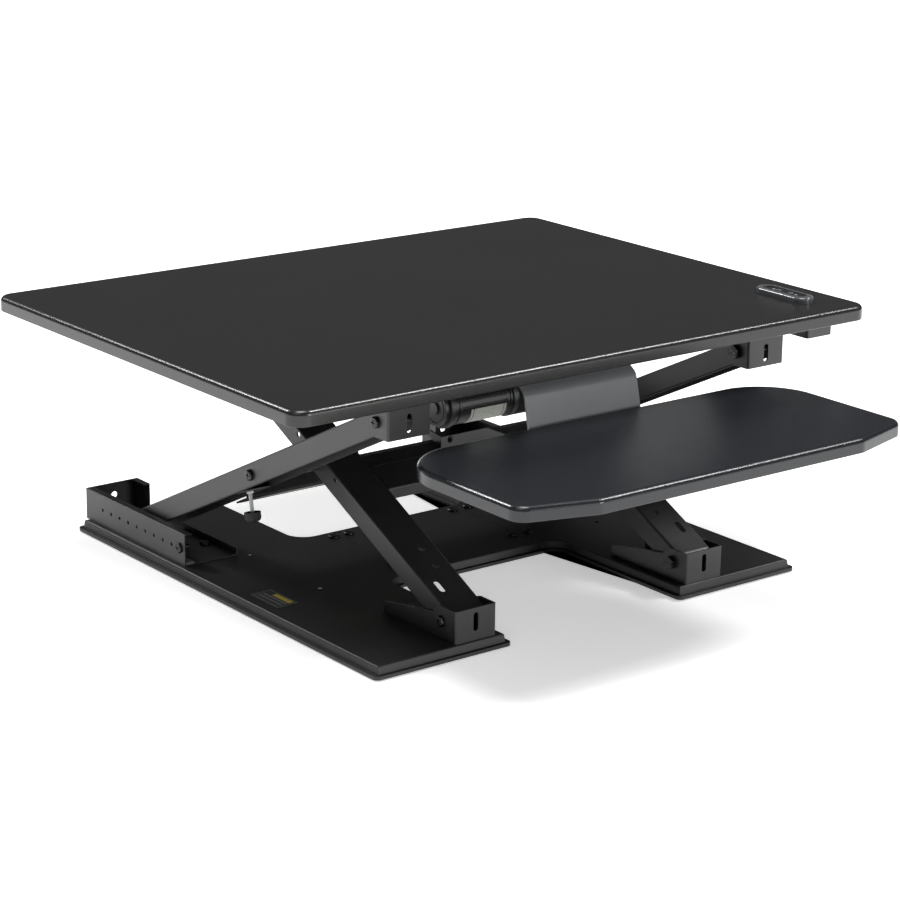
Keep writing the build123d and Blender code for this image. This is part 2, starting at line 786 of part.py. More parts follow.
def screw_bearing():
    """The block under the back of the desktop that carries the screw's far end."""
    x = (screw_offset - 20, screw_offset + 20)
    y = (screw_back - 14, screw_back + 2)
    shape = block(x, y, (upper_pivot - 16, desk_bottom))
    return shape - rod_y(screw_offset, (y[0] - 1, y[1] + 1), upper_pivot, screw_radius + running_gap)


def drive_nut():
    """The nut block that joins the two axle halves and rides along the screw."""
    x = (screw_offset - nut_half, screw_offset + nut_half)
    y = (rear_pivot - nut_length / 2, rear_pivot + nut_length / 2)
    shape = block(x, y, (upper_pivot - nut_height / 2, upper_pivot + nut_height / 2))
    shape = fillet(shape.edges().filter_by(Axis.X), 3)
    shape -= rod_y(screw_offset, (y[0] - 1, y[1] + 1), upper_pivot, screw_radius + running_gap)
    reach = screw_radius + 2
    for x in ((x[0] - 1, screw_offset - reach), (screw_offset + reach, x[1] + 1)):
        shape -= rod_x(x, rear_pivot, upper_pivot, pin_hole)
    return shape


# --- Controls ---
def control_box():
    """The power and control box under the right front of the desktop."""
    x = (pad_x - box_width + 20, pad_x + 20)
    y = (box_front, box_front + box_length)
    shape = block(x, y, (desk_bottom - box_height, desk_bottom))
    return fillet(shape.edges().filter_by(Axis.Z), 3)


def stadium(length, width, z, height):
    plan = Pos(pad_x, pad_y, z) * Rot(0, 0, 90) * SlotOverall(length, width)
    return extrude(plan, amount=height)


def button_places():
    return [pad_y - button_pitch / 2, pad_y + button_pitch / 2]


def control_pad():
    """The raised rim on the desktop with a sunk floor for the panel and wells for the buttons."""
    shape = stadium(pad_length, pad_width, desk_top, pad_height)
    shape = fillet(shape.edges().group_by(Axis.Z)[-1], 3.5)
    panel_top = desk_top + pad_height - panel_sink
    floor = panel_top - panel_thickness
    shape -= stadium(panel_length, panel_width, floor, 20)
    for y in button_places():
        shape -= rod_z(pad_x, y, (desk_top + pad_floor, floor + 1), button_radius + 1)
    return shape


def control_panel():
    """The flat fascia in the pad, with a round hole for each button."""
    floor = desk_top + pad_height - panel_sink - panel_thickness
    shape = stadium(panel_length - 0.4, panel_width - 0.4, floor, panel_thickness)
    for y in button_places():
        shape -= rod_z(pad_x, y, (floor - 1, floor + 9), button_radius + 0.3)
    return shape


def button(y):
    """A round push button, free to sink into its well."""
    top = desk_top + pad_height - panel_sink + button_rise
    low = desk_top + pad_floor + button_travel + 0.3
    shape = rod_z(pad_x, y, (low, top), button_radius)
    return fillet(shape.edges().group_by(Axis.Z)[-1], 0.6)


def all_pieces():
    """Every piece by name, where it stands when the lift is part-way up."""
    pieces = dict(base_lengths())
    pieces["base_join_plates"] = base_join_plates()
    pieces["base_join_screws"] = base_join_screws()
    pieces["rubber_feet"] = rubber_feet()
    pieces["base_label"] = base_label()
    pieces["floor_screws"] = floor_screws()
    pairs = {
        "lower_bracket": lower_bracket(), "lower_pivot_bolt": lower_pivot_bolt(),
        "rear_channel": rear_channel(), "inner_arm": inner_arm(), "outer_arm": outer_arm(),
        "upper_bracket": upper_bracket(), "upper_rail": upper_rail(),
        "lower_roller": roller(outer_arm_middle, rear_pivot, lower_pivot),
        "upper_roller": roller(inner_arm_middle, rear_pivot, upper_pivot),
    }
    for name, shape in pairs.items():
        pieces[name + "_right"] = shape
        pieces[name + "_left"] = mirrored(shape)
    alike = {
        "channel_stop_screws": stop_screw(), "channel_wear_strips": channel_wear_strip(),
        "mid_pivot_bolts": mid_pivot_bolt(), "mid_spacers": mid_spacer(), "lower_axles": lower_axle(),
        "bumper_plates": bumper_plate(), "bumper_studs": bumper_stud(), "bumper_cups": bumper_cup(),
        "upper_pivot_bolts": upper_pivot_bolt(), "rail_wear_strips": rail_wear_strip(),
    }
    pieces.update({name: both_sides(shape) for name, shape in alike.items()})
    pieces["inner_crossbeam"] = inner_crossbeam()
    pieces["crossbeam_bracket"] = crossbeam_bracket()
    pieces["outer_crossbeam"] = outer_crossbeam()
    pieces["upper_axles"] = upper_axles()
    pieces["desktop_board"] = desktop_board()
    pieces["desk_screws"] = desk_screws()
    pieces["keyboard_tray"] = keyboard_tray()
    pieces["tray_strap"] = tray_strap()
    pieces["tray_screws"] = tray_screws()
    pieces["motor_body"] = motor_body()
    pieces["motor_end_cap"] = motor_end_cap()
    pieces["motor_clamps"] = motor_clamps()
    pieces["motor_label"] = motor_label()
    pieces["gearbox"] = gearbox()
    pieces["gearbox_hangers"] = gearbox_hangers()
    pieces["lead_screw"] = lead_screw()
    pieces["screw_bearing"] = screw_bearing()
    pieces["drive_nut"] = drive_nut()
    pieces["control_box"] = control_box()
    pieces["control_pad"] = control_pad()
    pieces["control_panel"] = control_panel()
    for name, y in zip(("down", "up"), button_places()):
        pieces["button_" + name] = button(y)
    return pieces


os.makedirs("parts", exist_ok=True)
for name, shape in all_pieces().items():
    export_step(Pos(0, -y_middle, 0) * shape, f"parts/{name}.step")
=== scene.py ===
from math import radians

import bmesh
import bpy
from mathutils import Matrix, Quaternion, Vector


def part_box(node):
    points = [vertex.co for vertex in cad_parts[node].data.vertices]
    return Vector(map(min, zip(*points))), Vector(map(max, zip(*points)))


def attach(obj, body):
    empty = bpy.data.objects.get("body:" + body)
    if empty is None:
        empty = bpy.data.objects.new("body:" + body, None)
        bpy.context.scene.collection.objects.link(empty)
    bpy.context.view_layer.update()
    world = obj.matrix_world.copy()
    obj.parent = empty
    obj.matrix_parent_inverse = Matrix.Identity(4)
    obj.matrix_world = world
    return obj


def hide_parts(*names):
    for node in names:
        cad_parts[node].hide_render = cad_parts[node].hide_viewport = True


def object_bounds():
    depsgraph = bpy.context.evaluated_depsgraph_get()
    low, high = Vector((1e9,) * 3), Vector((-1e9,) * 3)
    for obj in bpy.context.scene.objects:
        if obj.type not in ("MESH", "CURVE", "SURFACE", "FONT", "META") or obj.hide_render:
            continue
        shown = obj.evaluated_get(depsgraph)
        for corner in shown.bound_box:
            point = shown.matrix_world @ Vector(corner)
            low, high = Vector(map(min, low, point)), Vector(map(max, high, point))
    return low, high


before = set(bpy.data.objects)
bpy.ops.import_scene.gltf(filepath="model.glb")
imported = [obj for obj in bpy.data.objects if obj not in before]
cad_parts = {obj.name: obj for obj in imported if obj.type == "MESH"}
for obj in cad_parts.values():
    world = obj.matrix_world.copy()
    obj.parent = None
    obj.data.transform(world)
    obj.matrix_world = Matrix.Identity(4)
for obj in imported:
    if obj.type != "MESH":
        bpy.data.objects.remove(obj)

cad_low, cad_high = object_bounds()

# ------------------------------------------------------------------------------------------------
# The studio: a plain white floor in a dim room, so that black coats stay dark.  One wide light hangs
# overhead, two fill the front, and two narrow ones make the rounded edges of the boards gleam.
# ------------------------------------------------------------------------------------------------
def linear(colour):
    """An sRGB colour in hex, as linear red, green, blue and alpha."""
    parts = [int(colour[at:at + 2], 16) / 255 for at in (0, 2, 4)]
    return [p / 12.92 if p <= 0.04045 else ((p + 0.055) / 1.055) ** 2.4 for p in parts] + [1.0]


def add(tree, kind, inputs=None, **settings):
    """Adds a node with its settings, and gives each named input a value or a socket to follow."""
    made = tree.nodes.new(kind)
    for name, value in settings.items():
        setattr(made, name, value)
    for name, value in (inputs or {}).items():
        if isinstance(value, bpy.types.NodeSocket):
            tree.links.new(value, made.inputs[name])
        else:
            made.inputs[name].default_value = value
    return made


def blank_material(name):
    """A new material with an empty node tree."""
    material = bpy.data.materials.new(name)
    material.use_nodes = True
    material.node_tree.nodes.clear()
    return material, material.node_tree


def deselect():
    bpy.ops.object.select_all(action="DESELECT")


deselect()
bpy.ops.mesh.primitive_plane_add(size=60, location=(0, 0, cad_low.z - 0.0004))
floor = bpy.context.object
floor.name = "studio_floor"
floor_paint, tree = blank_material("matt_white_floor_paint")
cloudy = add(tree, "ShaderNodeTexNoise", {"Scale": 0.7, "Detail": 2.0})
tint = add(tree, "ShaderNodeMix", {0: cloudy.outputs["Fac"], 6: linear("f6f6f5"), 7: linear("fafafa")},
           data_type="RGBA")
paint = add(tree, "ShaderNodeBsdfPrincipled", {"Base Color": tint.outputs[2], "Roughness": 0.9,
            "Emission Color": tint.outputs[2], "Emission Strength": 0.5})
add(tree, "ShaderNodeOutputMaterial", {"Surface": paint.outputs["BSDF"]})
floor.data.materials.append(floor_paint)

# Each light's strength, its spread in degrees, and its place: degrees round from the front, with the
# right side positive, and degrees above the floor.
for name, strength, spread, (around, above) in (
    ("overhead_light", 2.6, 30, (-20, 84)),
    ("front_left_light", 0.5, 40, (-62, 50)),
    ("front_right_light", 1.0, 20, (22, 10)),
    ("right_light", 1.7, 13, (66, 50)),
    ("rear_left_light", 1.6, 13, (-158, 38)),
):
    lamp = bpy.data.objects.new(name, bpy.data.lights.new(name, "SUN"))
    bpy.context.collection.objects.link(lamp)
    lamp.data.energy = strength
    lamp.data.angle = radians(spread)
    lamp.rotation_euler = (radians(90 - above), 0, radians(around))

world = bpy.data.worlds.new("dim_studio_walls")
bpy.context.scene.world = world
world.use_nodes = True
world.node_tree.nodes["Background"].inputs["Color"].default_value = linear("f4f6f8")
world.node_tree.nodes["Background"].inputs["Strength"].default_value = 0.10
bpy.context.scene.view_settings.view_transform = "Standard"

# The camera stands to the front left, a little above the desktop, with a long lens.
camera = bpy.data.objects.new("camera", bpy.data.cameras.new("camera"))
bpy.context.collection.objects.link(camera)
camera.location = (-2.0884, -2.6286, 1.1720)
aim = Vector((0.0001, 0.0775, 0.1533)) - camera.location
camera.rotation_mode = "QUATERNION"
camera.rotation_quaternion = aim.to_track_quat("-Z", "Y") @ Quaternion((0, 0, 1), radians(0.681))
camera.data.sensor_width = 36
camera.data.lens = 106.92
bpy.context.scene.camera = camera

# ------------------------------------------------------------------------------------------------
# The base: a shallow pressed-steel pan in three lengths, its foot folded out into a lip, butted
# together over two hidden plates.  Stove-baked black powder coat with a faint dry orange peel.
# ------------------------------------------------------------------------------------------------
def pressed(node, name, body, material, edge=0.0005, segments=2):
    """A finished copy of a CAD sheet-metal piece, with every cut and fold edge broken."""
    piece = bpy.data.objects.new(name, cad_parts[node].data.copy())
    bpy.context.collection.objects.link(piece)
    deselect()
    piece.select_set(True)
    bpy.context.view_layer.objects.active = piece
    bpy.ops.mesh.customdata_custom_splitnormals_clear()
    bpy.ops.object.mode_set(mode="EDIT")
    bpy.ops.mesh.select_all(action="SELECT")
    bpy.ops.mesh.remove_doubles(threshold=0.00001)
    bpy.ops.mesh.dissolve_limited(angle_limit=radians(0.5))
    soften(piece, edge, segments)
    piece.data.materials.clear()
    piece.data.materials.append(material)
    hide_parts(node)
    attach(piece, body)
    return piece


def soften(piece, edge, segments=2):
    """In edit mode, rounds the long sharp edges a little, then leaves it and smooths the rest."""
    bpy.ops.mesh.select_mode(type="EDGE")
    bpy.ops.mesh.select_all(action="DESELECT")
    mesh = bmesh.from_edit_mesh(piece.data)
    for line in mesh.edges:
        if line.is_convex and line.calc_length() > 4 * edge:
            line.select_set(line.calc_face_angle(0) > radians(40))
    bmesh.update_edit_mesh(piece.data)
    bpy.ops.mesh.bevel(offset=edge, segments=segments, affect="EDGES")
    bpy.ops.object.mode_set(mode="OBJECT")
    flatten(piece)


def flatten(piece):
    """Smooths over gentle angles, and keeps broad faces flat between them."""
    bpy.ops.object.shade_smooth_by_angle(angle=radians(38))
    level = piece.modifiers.new("flat_faces", "WEIGHTED_NORMAL")
    level.weight = 100
    level.keep_sharp = True
    bpy.ops.object.modifier_apply(modifier=level.name)


def powder_coat(name, light, dark, roughness, peel, depth):
    """Polyester powder coat: a flat black whose surface rolls like orange peel, peel metres across.

    The eye sees a dry satin sheen, broken into a fine sparkle on edges, and slow cloudy patches."""
    material, tree = blank_material(name)
    place = add(tree, "ShaderNodeTexCoord").outputs["Object"]
    clouds = add(tree, "ShaderNodeTexNoise", {"Vector": place, "Scale": 9.0, "Detail": 4.0})
    shade = add(tree, "ShaderNodeValToRGB", {"Fac": clouds.outputs["Fac"]})
    shade.color_ramp.elements[0].position = 0.35
    shade.color_ramp.elements[0].color = linear(dark)
    shade.color_ramp.elements[1].position = 0.68
    shade.color_ramp.elements[1].color = linear(light)
    grain = add(tree, "ShaderNodeTexNoise", {"Vector": place, "Scale": 1 / peel, "Detail": 2.5})
    sheen = add(tree, "ShaderNodeMapRange", {"Value": grain.outputs["Fac"], "From Min": 0.3,
                "From Max": 0.7, "To Min": roughness - 0.06, "To Max": roughness + 0.08})
    bump = add(tree, "ShaderNodeBump", {"Height": grain.outputs["Fac"], "Strength": 0.5,
               "Distance": depth})
    coat = add(tree, "ShaderNodeBsdfPrincipled", {"Base Color": shade.outputs["Color"],
               "Roughness": sheen.outputs["Result"], "IOR": 1.5, "Normal": bump.outputs["Normal"]})
    add(tree, "ShaderNodeOutputMaterial", {"Surface": coat.outputs["BSDF"]})
    return material


base_coat = powder_coat("black_powder_coated_pan", "1f1f1f", "171717", 0.46, 0.0014, 0.00012)
for node, name in (("base_leg_left", "left_leg_pan"), ("base_bridge", "bridge_pan"),
                   ("base_leg_right", "right_leg_pan")):
    pressed(node, name, "base", base_coat, 0.0006)

# ------------------------------------------------------------------------------------------------
# Folded steelwork: the brackets, channels, rails, arms and crossbeams, each bent from 2 to 2.5 mm
# sheet and coated black in satin powder.  Their folds are round and their cut edges just broken.
# ------------------------------------------------------------------------------------------------
frame_coat = powder_coat("satin_black_powder_coat", "262626", "1c1c1c", 0.40, 0.0011, 0.00008)
for side in ("left", "right"):
    pressed("lower_bracket_" + side, "front_foot_bracket_" + side, "base", frame_coat)
    pressed("rear_channel_" + side, "roller_channel_" + side, "base", frame_coat)
    pressed("inner_arm_" + side, "rising_arm_" + side, "inner_arms", frame_coat)
    pressed("outer_arm_" + side, "falling_arm_" + side, "outer_arms", frame_coat)
    pressed("upper_bracket_" + side, "desk_bracket_" + side, "platform", frame_coat)
    pressed("upper_rail_" + side, "roller_rail_" + side, "platform", frame_coat)
pressed("inner_crossbeam", "folded_crossbeam", "inner_arms", frame_coat)
pressed("crossbeam_bracket", "crossbeam_stand", "inner_arms", frame_coat)
pressed("outer_crossbeam", "rear_crossbeam", "outer_arms", frame_coat)
pressed("bumper_plates", "bumper_plate_pair", "outer_arms", frame_coat)
pressed("gearbox_hangers", "gearbox_spacers", "platform", frame_coat)
pressed("motor_clamps", "motor_saddles", "platform", frame_coat)
pressed("screw_bearing", "screw_bearing_block", "platform", frame_coat, 0.0008)

# ------------------------------------------------------------------------------------------------
# Fixings: screws, pivot bolts, axles, tubes and plates of bright zinc-plated steel.  The plating
# is thin over turned metal, so it looks grey and slightly cloudy, with fine turning marks.
# ------------------------------------------------------------------------------------------------
def dress(material, *nodes):
    """Gives CAD pieces whose shape is kept their finish."""
    for node in nodes:
        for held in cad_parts[node].material_slots:
            held.material = material


zinc, tree = blank_material("zinc_plated_steel")
place = add(tree, "ShaderNodeTexCoord").outputs["Object"]
spangle = add(tree, "ShaderNodeTexVoronoi", {"Vector": place, "Scale": 1 / 0.0025})
tone = add(tree, "ShaderNodeValToRGB", {"Fac": spangle.outputs["Distance"]})
tone.color_ramp.elements[0].color = linear("6f7173")
tone.color_ramp.elements[1].color = linear("9a9c9e")
marks = add(tree, "ShaderNodeTexNoise", {"Vector": place, "Scale": 1 / 0.0008, "Detail": 3.0})
dull = add(tree, "ShaderNodeMapRange", {"Value": marks.outputs["Fac"], "To Min": 0.22,
           "To Max": 0.5})
bump = add(tree, "ShaderNodeBump", {"Height": marks.outputs["Fac"], "Strength": 0.35,
           "Distance": 0.00005})
metal = add(tree, "ShaderNodeBsdfPrincipled", {"Base Color": tone.outputs["Color"], "Metallic": 1.0,
            "Roughness": dull.outputs["Result"], "Normal": bump.outputs["Normal"]})
add(tree, "ShaderNodeOutputMaterial", {"Surface": metal.outputs["BSDF"]})
dress(zinc, "mid_spacers", "upper_axles", "lower_axles", "bumper_studs", "base_join_plates")

# The heads that show are blackened: the same plating under a dark chromate, rubbed paler in random
# patches.
black_zinc, tree = blank_material("black_chromate_on_zinc")
place = add(tree, "ShaderNodeTexCoord").outputs["Object"]
rubbed = add(tree, "ShaderNodeTexNoise", {"Vector": place, "Scale": 1 / 0.003, "Detail": 4.0})
tone = add(tree, "ShaderNodeValToRGB", {"Fac": rubbed.outputs["Fac"]})
tone.color_ramp.elements[0].position = 0.45
tone.color_ramp.elements[0].color = linear("2f3031")
tone.color_ramp.elements[1].position = 0.8
tone.color_ramp.elements[1].color = linear("6c6e70")
bump = add(tree, "ShaderNodeBump", {"Height": rubbed.outputs["Fac"], "Strength": 0.3,
           "Distance": 0.00005})
metal = add(tree, "ShaderNodeBsdfPrincipled", {"Base Color": tone.outputs["Color"], "Metallic": 1.0,
            "Roughness": 0.38, "Normal": bump.outputs["Normal"]})
add(tree, "ShaderNodeOutputMaterial", {"Surface": metal.outputs["BSDF"]})
dress(black_zinc, "base_join_screws", "floor_screws", "channel_stop_screws", "desk_screws",
      "tray_screws", "lower_pivot_bolt_left", "lower_pivot_bolt_right", "mid_pivot_bolts",
      "upper_pivot_bolts")

# ------------------------------------------------------------------------------------------------
# Rubber feet and bumper cups: moulded black rubber, dead matt, with a dusty bloom of mould release
# that lightens it in patches.  The cups screw onto the studs under the falling arms.
# ------------------------------------------------------------------------------------------------
rubber, tree = blank_material("moulded_black_rubber")
place = add(tree, "ShaderNodeTexCoord").outputs["Object"]
bloom = add(tree, "ShaderNodeTexNoise", {"Vector": place, "Scale": 1 / 0.006, "Detail": 6.0})
tone = add(tree, "ShaderNodeMix", {0: bloom.outputs["Fac"], 6: linear("141414"), 7: linear("242322")},
           data_type="RGBA")
bump = add(tree, "ShaderNodeBump", {"Height": bloom.outputs["Fac"], "Strength": 0.4,
           "Distance": 0.0001})
skin = add(tree, "ShaderNodeBsdfPrincipled", {"Base Color": tone.outputs[2],
           "Roughness": 0.72, "IOR": 1.52, "Normal": bump.outputs["Normal"]})
add(tree, "ShaderNodeOutputMaterial", {"Surface": skin.outputs["BSDF"]})
pressed("bumper_cups", "bumper_cup_pair", "outer_arms", rubber, 0.0005, 3)
pressed("rubber_feet", "stuck_on_feet", "base", rubber, 0.0008, 3)

# ------------------------------------------------------------------------------------------------
# Rollers and wear strips: white-grey nylon, moulded.  Each roller is a tyre round a recessed web
# and a hub, bored for its axle; the strips are flat, with long rub marks from the rollers.
# ------------------------------------------------------------------------------------------------
def pick(piece, kind, test):
    """In edit mode, selects only the vertices, edges or faces that pass the test."""
    bpy.ops.mesh.select_mode(type=kind)
    bpy.ops.mesh.select_all(action="DESELECT")
    mesh = bmesh.from_edit_mesh(piece.data)
    if kind == "FACE":
        chosen = [f for f in mesh.faces if test(f.calc_center_median(), f.normal)]
    elif kind == "EDGE":
        chosen = [e for e in mesh.edges if test(e.verts[0].co, e.verts[1].co)]
    else:
        chosen = [v for v in mesh.verts if test(v.co)]
    for item in chosen:
        item.select_set(True)
    mesh.select_flush_mode()
    bmesh.update_edit_mesh(piece.data)


def start(name, kind, low, high, turn=(0, 0, 0), **settings):
    """A primitive that fills a box, with its place in its mesh, open in edit mode."""
    deselect()
    {"cube": bpy.ops.mesh.primitive_cube_add,
     "cylinder": bpy.ops.mesh.primitive_cylinder_add}[kind](location=(0, 0, 0), **settings)
    piece = bpy.context.object
    piece.name = name
    piece.rotation_euler = turn
    bpy.ops.object.transform_apply(location=True, rotation=True, scale=True)
    size = Vector(piece.dimensions)
    piece.scale = [(high[i] - low[i]) / size[i] for i in range(3)]
    piece.location = (low + high) / 2
    bpy.ops.object.transform_apply(location=True, rotation=True, scale=True)
    bpy.ops.object.mode_set(mode="EDIT")
    return piece


def done(piece, body, slot, material, *nodes):
    """Leaves edit mode and hands the finished piece over."""
    if piece.mode == "EDIT":
        bpy.ops.object.mode_set(mode="OBJECT")
        flatten(piece)
    piece.data.materials.clear()
    piece.data.materials.append(material)
    if nodes:
        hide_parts(*nodes)
    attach(piece, body)


nylon, tree = blank_material("moulded_grey_nylon")
place = add(tree, "ShaderNodeTexCoord").outputs["Object"]
flow = add(tree, "ShaderNodeTexNoise", {"Vector": place, "Scale": 1 / 0.012, "Detail": 5.0})
tone = add(tree, "ShaderNodeMix", {0: flow.outputs["Fac"], 6: linear("7c7b77"), 7: linear("979590")},
           data_type="RGBA")
scuffs = add(tree, "ShaderNodeTexNoise", {"Vector": place, "Scale": 1 / 0.0015, "Detail": 3.0})
worn = add(tree, "ShaderNodeMapRange", {"Value": scuffs.outputs["Fac"], "To Min": 0.35,
           "To Max": 0.6})
bump = add(tree, "ShaderNodeBump", {"Height": scuffs.outputs["Fac"], "Strength": 0.3,
           "Distance": 0.00006})
moulding = add(tree, "ShaderNodeBsdfPrincipled", {"Base Color": tone.outputs[2],
               "Roughness": worn.outputs["Result"], "IOR": 1.53, "Normal": bump.outputs["Normal"]})
add(tree, "ShaderNodeOutputMaterial", {"Surface": moulding.outputs["BSDF"]})
dress(nylon, "channel_wear_strips", "rail_wear_strips")

# From the rim inwards: the tyre's face, the step down, the web, the step up and the hub's face.
tyre_web_and_hub = ((0.0032, 0), (0.0006, -0.0018), (0.0044, 0), (0.0005, 0.0016), (0.0039, 0))
bore_reach = 0.0063
hair = 0.0001
for node in ("lower_roller_left", "lower_roller_right", "upper_roller_left", "upper_roller_right"):
    low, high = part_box(node)
    roller = start(node.replace("roller", "track_wheel"), "cylinder", low, high,
                   (0, radians(90), 0), vertices=72)
    pick(roller, "FACE", lambda middle, normal: abs(normal.x) > 0.9)
    for width, rise in tyre_web_and_hub:
        bpy.ops.mesh.inset(thickness=width, depth=rise)
    bpy.ops.mesh.delete(type="FACE")
    hub = (low + high) / 2
    reach = lambda point: ((point.y - hub.y) ** 2 + (point.z - hub.z) ** 2) ** 0.5
    pick(roller, "EDGE", lambda a, b: max(reach(a), reach(b)) < bore_reach and abs(a.x - b.x) < hair)
    bpy.ops.mesh.bridge_edge_loops()
    soften(roller, 0.0004)
    done(roller, node, "nylon", nylon, node)

# ------------------------------------------------------------------------------------------------
# The desktop: a 20 mm board of pressed wood fibre, rounded above and cut square below, wrapped in a
# black vinyl foil with a fine pebbled grain, drawn down in a vacuum press.
# ------------------------------------------------------------------------------------------------
def foil(name, light, dark, roughness, pebble, depth, top):
    """Vinyl foil with an embossed pebble: pebble metres across and depth metres deep.

    It is stretched smoother where it falls away from the board's top, a height in metres, so the
    flat is a quiet near-black and the rounded edge a speckled bright line."""
    material, tree = blank_material(name)
    place = add(tree, "ShaderNodeTexCoord").outputs["Object"]
    cells = add(tree, "ShaderNodeTexVoronoi", {"Vector": place, "Scale": 1 / pebble,
                "Randomness": 1.0}, feature="F1")
    fine = add(tree, "ShaderNodeTexNoise", {"Vector": place, "Scale": 2.2 / pebble, "Detail": 2.0})
    relief = add(tree, "ShaderNodeMath", {0: cells.outputs["Distance"],
                 1: fine.outputs["Fac"]}, operation="ADD")
    drift = add(tree, "ShaderNodeTexNoise", {"Vector": place, "Scale": 5.0, "Detail": 3.0})
    patch = add(tree, "ShaderNodeMix", {0: drift.outputs["Fac"], 6: linear(dark), 7: linear(light)},
                data_type="RGBA")
    # The pebble's hollows are darkened in colour: painted shade in the grain's valleys, on top of the
    # bump's own shading.
    pebble_hollows_painted_shade = add(tree, "ShaderNodeMapRange", {"Value": relief.outputs["Value"], "From Min": 0.5,
                 "From Max": 1.5, "To Min": 0.82, "To Max": 1.0})
    tone = add(tree, "ShaderNodeVectorMath", {0: patch.outputs[2],
               "Scale": pebble_hollows_painted_shade.outputs["Result"]}, operation="SCALE")
    gloss = add(tree, "ShaderNodeMapRange", {"Value": fine.outputs["Fac"], "From Min": 0.3,
                "From Max": 0.7, "To Min": roughness - 0.07, "To Max": roughness + 0.07})
    height = add(tree, "ShaderNodeSeparateXYZ", {"Vector": place})
    pulled = add(tree, "ShaderNodeMapRange", {"Value": height.outputs["Z"], "From Min": top - 0.002,
                 "From Max": top - 0.0001, "To Min": 0.62, "To Max": 1.0})
    sheen = add(tree, "ShaderNodeMath", {0: gloss.outputs["Result"], 1: pulled.outputs["Result"]},
                operation="MULTIPLY")
    bump = add(tree, "ShaderNodeBump", {"Height": relief.outputs["Value"], "Strength": 0.6,
               "Distance": depth})
    skin = add(tree, "ShaderNodeBsdfPrincipled", {"Base Color": tone.outputs["Vector"],
               "Roughness": sheen.outputs["Value"], "IOR": 1.48, "Normal": bump.outputs["Normal"]})
    add(tree, "ShaderNodeOutputMaterial", {"Surface": skin.outputs["BSDF"]})
    return material


def round_board(board, low, high, top_edge=0.007, bottom_edge=0.0012):
    """In edit mode, rounds a board's upper edge well and its lower edge only a little."""
    pick(board, "EDGE", lambda a, b: min(a.z, b.z) > high.z - hair)
    bpy.ops.mesh.bevel(offset=top_edge, segments=10, affect="EDGES")
    pick(board, "EDGE", lambda a, b: max(a.z, b.z) < low.z + hair)
    bpy.ops.mesh.bevel(offset=bottom_edge, segments=3, affect="EDGES")


# The real pebble is under a millimetre; it is drawn at 1.6 mm so that it shows.
low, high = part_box("desktop_board")
desk_foil = foil("black_pebbled_vinyl_foil", "20201f", "1b1b1a", 0.34, 0.0016, 0.00010, high.z)
desk = start("desktop", "cube", low, high)
upright = lambda a, b: abs(a.z - b.z) > 0.001
desk_corner = 0.022
pick(desk, "EDGE", upright)
bpy.ops.mesh.bevel(offset=desk_corner, segments=20, affect="EDGES")
round_board(desk, low, high)
done(desk, "platform", "desk_laminate", desk_foil, "desktop_board")

# ------------------------------------------------------------------------------------------------
# The keyboard tray: the same kind of board, 19 mm thick, with two sloping front corners and large
# round rear ones.  Its foil is a touch bluer than the desktop's.
# ------------------------------------------------------------------------------------------------
low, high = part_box("keyboard_tray")
tray_foil = foil("blue_black_pebbled_vinyl_foil", "1a1c20", "16181c", 0.36, 0.0016, 0.00010, high.z)
tray = start("keyboard_shelf", "cube", low, high)
# Half the width of the straight nose, and how far back its two sloping corners run.
nose, depth = 0.209, 0.029
for side in (-1, 1):
    bpy.ops.mesh.select_all(action="SELECT")
    corner = Vector((side * nose, low.y, 0))
    across = Vector((side * depth, -(high.x - nose), 0))
    bpy.ops.mesh.bisect(plane_co=corner, plane_no=across, use_fill=True, clear_outer=True)
bpy.ops.mesh.select_all(action="SELECT")
bpy.ops.mesh.remove_doubles(threshold=0.00001)
# The rear corners, the shoulders and the ends of the nose are rounded in turn.
for offset, segments, where in (
    (0.082, 24, lambda p: p.y > high.y - 0.001),
    (0.0163, 8, lambda p: abs(p.y - low.y - depth) < 0.001),
    (0.0033, 8, lambda p: p.y < low.y + 0.001),
):
    pick(tray, "EDGE", lambda a, b: upright(a, b) and where(a))
    bpy.ops.mesh.bevel(offset=offset, segments=segments, affect="EDGES")
round_board(tray, low, high)
done(tray, "platform", "tray_laminate", tray_foil, "keyboard_tray")

# The tray's hanger: one wide strip of 2.5 mm steel, bent twice and coated in satin grey. Its colour is
# painted paler still, a painted sheen that stands for the bright reflection along it.
hanger_grey_with_painted_sheen = powder_coat("satin_grey_hanger_painted_with_sheen", "7e8183", "747779", 0.34, 0.0011, 0.00006)
pressed("tray_strap", "tray_hanger", "platform", hanger_grey_with_painted_sheen)

# ------------------------------------------------------------------------------------------------
# The motor: a drawn steel can, painted black, with cooling flutes pressed along it and a groove
# near each end, held by two saddles.  Its outer end has a stepped plastic cap, and a blank pale
# paper label is wrapped round its lower front.
# ------------------------------------------------------------------------------------------------
can_paint, tree = blank_material("black_enamel_on_drawn_steel")
place = add(tree, "ShaderNodeTexCoord").outputs["Object"]
stretch = add(tree, "ShaderNodeMapping", {"Vector": place, "Scale": (60, 900, 900)})
drawn = add(tree, "ShaderNodeTexNoise", {"Vector": stretch.outputs["Vector"], "Scale": 1.0,
            "Detail": 3.0})
tone = add(tree, "ShaderNodeMix", {0: drawn.outputs["Fac"], 6: linear("121212"), 7: linear("202020")},
           data_type="RGBA")
bump = add(tree, "ShaderNodeBump", {"Height": drawn.outputs["Fac"], "Strength": 0.25,
           "Distance": 0.00006})
enamel = add(tree, "ShaderNodeBsdfPrincipled", {"Base Color": tone.outputs[2],
             "Roughness": 0.3, "IOR": 1.5, "Normal": bump.outputs["Normal"]})
add(tree, "ShaderNodeOutputMaterial", {"Surface": enamel.outputs["BSDF"]})
low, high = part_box("motor_body")
can = start("motor_can", "cylinder", low, high, (0, radians(90), 0), vertices=72)
